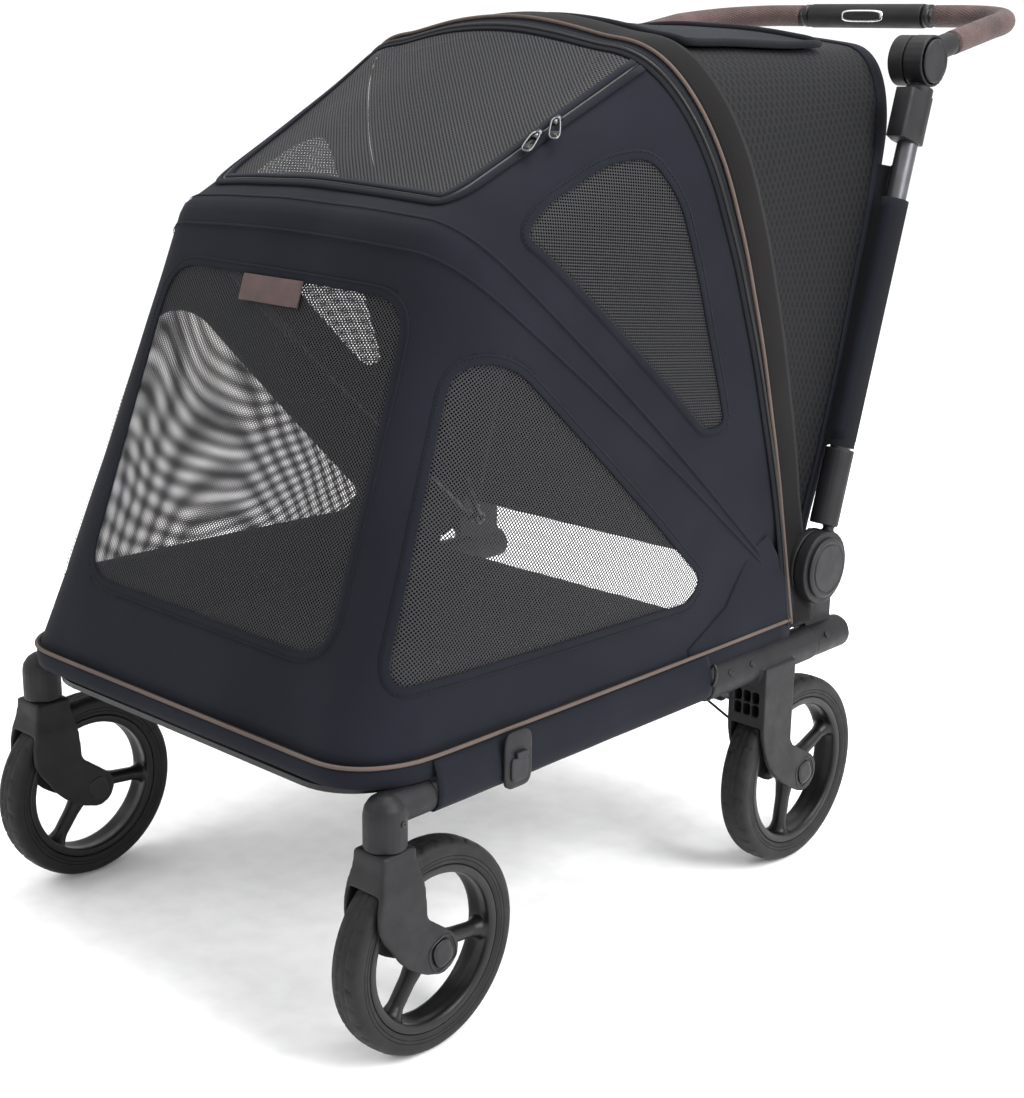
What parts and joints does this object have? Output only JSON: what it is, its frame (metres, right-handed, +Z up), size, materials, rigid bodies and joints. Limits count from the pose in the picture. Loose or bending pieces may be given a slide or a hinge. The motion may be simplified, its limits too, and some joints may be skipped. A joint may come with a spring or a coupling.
{
  "type": "pet stroller",
  "caption": "Folding pet stroller with a zipped mesh cabin on an alloy chassis, castering front wheels, braked rear wheels and a tilting leather-wrapped handle.",
  "frame": {"origin": "ground level, midway between the sides and midway along the whole length", "axes": "+Z up, -Y towards the nose, +Y towards the handle, +X across"},
  "size_m": [0.667, 1.325, 1.057],
  "materials": {
    "tyre": "moulded rubber with a shallow block tread",
    "rim": "black moulded nylon, satin",
    "steel": "plain turned steel",
    "button": "black moulded plastic, satin",
    "moulding": "dark grey moulded nylon, fine texture",
    "hinge_disc": "dark grey moulded cover, satin",
    "frame_tube": "dark anodised alloy tube, satin",
    "leather": "brown stitched leather",
    "cabin_fabric": "dark navy woven polyester",
    "roof_mesh": "dark grey woven mesh",
    "air_mesh": "black open spacer mesh",
    "board": "black sheet",
    "cushion": "dark padded cloth",
    "cable": "black sheathed wire"
  },
  "bodies": {
    "chassis": {"rear_cross_tube": "frame_tube", "brake_cable": "cable", "canopy_front": "cabin_fabric", "canopy_roof": "cabin_fabric", "roof_hatch": "roof_mesh", "rear_top": "air_mesh", "rear_wall": "air_mesh", "floor_board": "board", "floor_cushion": "cushion", "tray_rim": "cabin_fabric", "side_rail_left": "frame_tube", "rear_leg_left": "moulding", "front_elbow_left": "moulding", "hinge_base_left": "moulding", "rear_axle_left": "steel", "canopy_side_left": "cabin_fabric", "rear_mesh_left": "air_mesh", "storage_latch_left": "moulding", "side_rail_right": "frame_tube", "rear_leg_right": "moulding", "front_elbow_right": "moulding", "hinge_base_right": "moulding", "rear_axle_right": "steel", "canopy_side_right": "cabin_fabric", "rear_mesh_right": "air_mesh", "storage_latch_right": "moulding"},
    "caster_left": {"caster_fork_left": "moulding", "front_axle_left": "steel"},
    "front_wheel_left": {"front_tyre_left": "tyre", "front_rim_left": "rim"},
    "rear_wheel_left": {"rear_tyre_left": "tyre", "rear_rim_left": "rim"},
    "front_release_left": {"front_release_button_left": "button"},
    "rear_release_left": {"rear_release_button_left": "button"},
    "tilt_release_left": {"tilt_button_left": "hinge_disc"},
    "caster_right": {"caster_fork_right": "moulding", "front_axle_right": "steel"},
    "front_wheel_right": {"front_tyre_right": "tyre", "front_rim_right": "rim"},
    "rear_wheel_right": {"rear_tyre_right": "tyre", "rear_rim_right": "rim"},
    "front_release_right": {"front_release_button_right": "button"},
    "rear_release_right": {"rear_release_button_right": "button"},
    "tilt_release_right": {"tilt_button_right": "hinge_disc"},
    "push_frame": {"arm_knuckle_left": "moulding", "arm_knuckle_right": "moulding", "hinge_cover_left": "hinge_disc", "hinge_cover_right": "hinge_disc", "push_arm_left": "frame_tube", "push_arm_right": "frame_tube", "handle_hinge_left": "moulding", "handle_hinge_right": "moulding"},
    "handle": {"handle_frame": "frame_tube", "grip_left": "leather", "grip_right": "leather", "handle_hub": "moulding"},
    "fold_release": {"fold_switch": "button"},
    "hoop_front": {"front_hoop": "frame_tube"},
    "hoop_middle": {"mid_hoop": "frame_tube"},
    "pedal": {"brake_pedal": "moulding"}
  },
  "joints": [
    {"name": "caster_swivel_left", "type": "hinge", "parent": "chassis", "child": "caster_left", "pos_m": [-0.298, -0.6, 0.241], "axis": [0, 0, 1], "continuous": true},
    {"name": "front_wheel_spin_left", "type": "hinge", "parent": "caster_left", "child": "front_wheel_left", "pos_m": [-0.298, -0.547, 0.115], "axis": [1, 0, 0], "continuous": true},
    {"name": "rear_wheel_spin_left", "type": "hinge", "parent": "chassis", "child": "rear_wheel_left", "pos_m": [-0.298, 0.095, 0.12], "axis": [1, 0, 0], "continuous": true},
    {"name": "front_release_press_left", "type": "slide", "parent": "caster_left", "child": "front_release_left", "axis": [1, 0, 0], "range_m": [0, 0.002], "stiffness_N_per_m": 800, "springref_m": -0.0005},
    {"name": "rear_release_press_left", "type": "slide", "parent": "chassis", "child": "rear_release_left", "axis": [1, 0, 0], "range_m": [0, 0.002], "stiffness_N_per_m": 800, "springref_m": -0.0005},
    {"name": "tilt_release_press_left", "type": "slide", "parent": "push_frame", "child": "tilt_release_left", "axis": [1, 0, 0], "range_m": [0, 0.004], "stiffness_N_per_m": 800, "springref_m": -0.0005},
    {"name": "caster_swivel_right", "type": "hinge", "parent": "chassis", "child": "caster_right", "pos_m": [0.298, -0.6, 0.241], "axis": [0, 0, 1], "continuous": true},
    {"name": "front_wheel_spin_right", "type": "hinge", "parent": "caster_right", "child": "front_wheel_right", "pos_m": [0.298, -0.547, 0.115], "axis": [1, 0, 0], "continuous": true},
    {"name": "rear_wheel_spin_right", "type": "hinge", "parent": "chassis", "child": "rear_wheel_right", "pos_m": [0.298, 0.095, 0.12], "axis": [1, 0, 0], "continuous": true},
    {"name": "front_release_press_right", "type": "slide", "parent": "caster_right", "child": "front_release_right", "axis": [-1, 0, 0], "range_m": [0, 0.002], "stiffness_N_per_m": 800, "springref_m": -0.0005},
    {"name": "rear_release_press_right", "type": "slide", "parent": "chassis", "child": "rear_release_right", "axis": [-1, 0, 0], "range_m": [0, 0.002], "stiffness_N_per_m": 800, "springref_m": -0.0005},
    {"name": "tilt_release_press_right", "type": "slide", "parent": "push_frame", "child": "tilt_release_right", "axis": [-1, 0, 0], "range_m": [0, 0.004], "stiffness_N_per_m": 800, "springref_m": -0.0005},
    {"name": "fold", "type": "hinge", "parent": "chassis", "child": "push_frame", "pos_m": [0, 0.132, 0.378], "axis": [1, 0, 0], "range_deg": [0, 98], "deforming": ["canopy_front", "canopy_roof", "roof_hatch", "canopy_side_left", "canopy_side_right", "rear_mesh_left", "rear_mesh_right", "rear_top", "rear_wall"]},
    {"name": "front_hoop_fold", "type": "hinge", "parent": "chassis", "child": "hoop_front", "pos_m": [0, 0.109, 0.338], "axis": [1, 0, 0], "range_deg": [0, 42.14]},
    {"name": "middle_hoop_fold", "type": "hinge", "parent": "chassis", "child": "hoop_middle", "pos_m": [0, 0.109, 0.338], "axis": [1, 0, 0], "range_deg": [0, 62.72]},
    {"name": "handle_tilt", "type": "hinge", "parent": "push_frame", "child": "handle", "pos_m": [0, 0.31256, 0.98366], "axis": [1, 0, 0], "range_deg": [-60, 60]},
    {"name": "fold_switch_press", "type": "slide", "parent": "handle", "child": "fold_release", "axis": [0, 1, 0], "range_m": [0, 0.002], "stiffness_N_per_m": 800, "springref_m": -0.0005},
    {"name": "brake_press", "type": "hinge", "parent": "chassis", "child": "pedal", "pos_m": [0, 0.036, 0.222], "axis": [1, 0, 0], "range_deg": [-18, 0]}
  ],
  "couplings": [
    {"joint": "front_hoop_fold", "follows": "fold", "ratio": 0.43},
    {"joint": "middle_hoop_fold", "follows": "fold", "ratio": 0.64}
  ]
}
